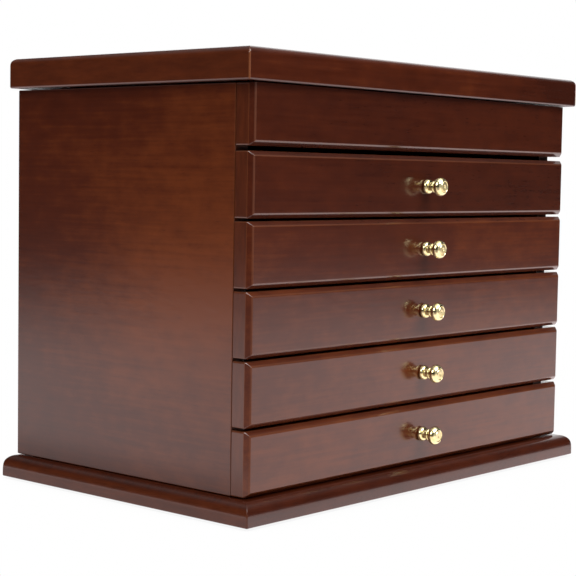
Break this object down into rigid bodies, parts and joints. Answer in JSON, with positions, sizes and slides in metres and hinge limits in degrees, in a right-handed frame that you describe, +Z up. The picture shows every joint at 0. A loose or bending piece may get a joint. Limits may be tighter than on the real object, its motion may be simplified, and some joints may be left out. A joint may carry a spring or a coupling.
{
  "type": "jewellery chest with drawers",
  "caption": "Table-top stained wood jewellery chest: bevelled overlay drawer fronts with brass knobs below a lift-up lid that covers a fitted, mirrored top tray.",
  "frame": {"origin": "on the surface that the chest stands on, at the centre of its footprint from the knob tips to the back edge of the base board", "axes": "+X along the width to the right as seen from the front, +Y towards the back, +Z up; the drawers open towards -Y"},
  "size_m": [0.368, 0.238, 0.2877],
  "materials": {
    "stained_wood": "dark red-brown stain under gloss lacquer",
    "drawer_wood": "stained, thin satin lacquer",
    "polished_brass": "polished and lacquered",
    "zinc_steel": "zinc plated",
    "velvet": "short pile velvet, wine red",
    "base_felt": "pressed felt",
    "mirror_glass": "silvered glass"
  },
  "bodies": {
    "chest": {"base_felt": "base_felt", "base_board": "stained_wood", "side_panel_left": "stained_wood", "side_panel_right": "stained_wood", "back_panel": "stained_wood", "top_rail": "stained_wood", "tray_floor": "drawer_wood", "tray_lining": "velvet", "tray_divider_long": "drawer_wood", "tray_divider_cross": "drawer_wood", "ring_rolls": "velvet", "box_hinge_leaf_left": "polished_brass", "box_hinge_leaf_right": "polished_brass", "hinge_pin_left": "polished_brass", "hinge_pin_right": "polished_brass"},
    "lid": {"lid_board": "stained_wood", "mirror": "mirror_glass", "mirror_frame": "stained_wood", "lid_hinge_leaf_left": "polished_brass", "lid_hinge_leaf_right": "polished_brass"},
    "drawer_1": {"drawer_1_front": "stained_wood", "drawer_1_side_left": "drawer_wood", "drawer_1_side_right": "drawer_wood", "drawer_1_back": "drawer_wood", "drawer_1_bottom": "drawer_wood", "drawer_1_lining": "velvet", "drawer_1_knob": "polished_brass", "drawer_1_knob_screw": "zinc_steel"},
    "drawer_2": {"drawer_2_front": "stained_wood", "drawer_2_side_left": "drawer_wood", "drawer_2_side_right": "drawer_wood", "drawer_2_back": "drawer_wood", "drawer_2_bottom": "drawer_wood", "drawer_2_lining": "velvet", "drawer_2_knob": "polished_brass", "drawer_2_knob_screw": "zinc_steel"},
    "drawer_3": {"drawer_3_front": "stained_wood", "drawer_3_side_left": "drawer_wood", "drawer_3_side_right": "drawer_wood", "drawer_3_back": "drawer_wood", "drawer_3_bottom": "drawer_wood", "drawer_3_lining": "velvet", "drawer_3_knob": "polished_brass", "drawer_3_knob_screw": "zinc_steel"},
    "drawer_4": {"drawer_4_front": "stained_wood", "drawer_4_side_left": "drawer_wood", "drawer_4_side_right": "drawer_wood", "drawer_4_back": "drawer_wood", "drawer_4_bottom": "drawer_wood", "drawer_4_lining": "velvet", "drawer_4_knob": "polished_brass", "drawer_4_knob_screw": "zinc_steel"},
    "drawer_5": {"drawer_5_front": "stained_wood", "drawer_5_side_left": "drawer_wood", "drawer_5_side_right": "drawer_wood", "drawer_5_back": "drawer_wood", "drawer_5_bottom": "drawer_wood", "drawer_5_lining": "velvet", "drawer_5_knob": "polished_brass", "drawer_5_knob_screw": "zinc_steel"}
  },
  "joints": [
    {"name": "lid_hinge", "type": "hinge", "parent": "chest", "child": "lid", "pos_m": [0, 0.1168, 0.2672], "axis": [-1, 0, 0], "range_deg": [0, 100]},
    {"name": "drawer_1_slide", "type": "slide", "parent": "chest", "child": "drawer_1", "axis": [0, -1, 0], "range_m": [0, 0.15]},
    {"name": "drawer_2_slide", "type": "slide", "parent": "chest", "child": "drawer_2", "axis": [0, -1, 0], "range_m": [0, 0.15]},
    {"name": "drawer_3_slide", "type": "slide", "parent": "chest", "child": "drawer_3", "axis": [0, -1, 0], "range_m": [0, 0.15]},
    {"name": "drawer_4_slide", "type": "slide", "parent": "chest", "child": "drawer_4", "axis": [0, -1, 0], "range_m": [0, 0.15]},
    {"name": "drawer_5_slide", "type": "slide", "parent": "chest", "child": "drawer_5", "axis": [0, -1, 0], "range_m": [0, 0.15]}
  ]
}
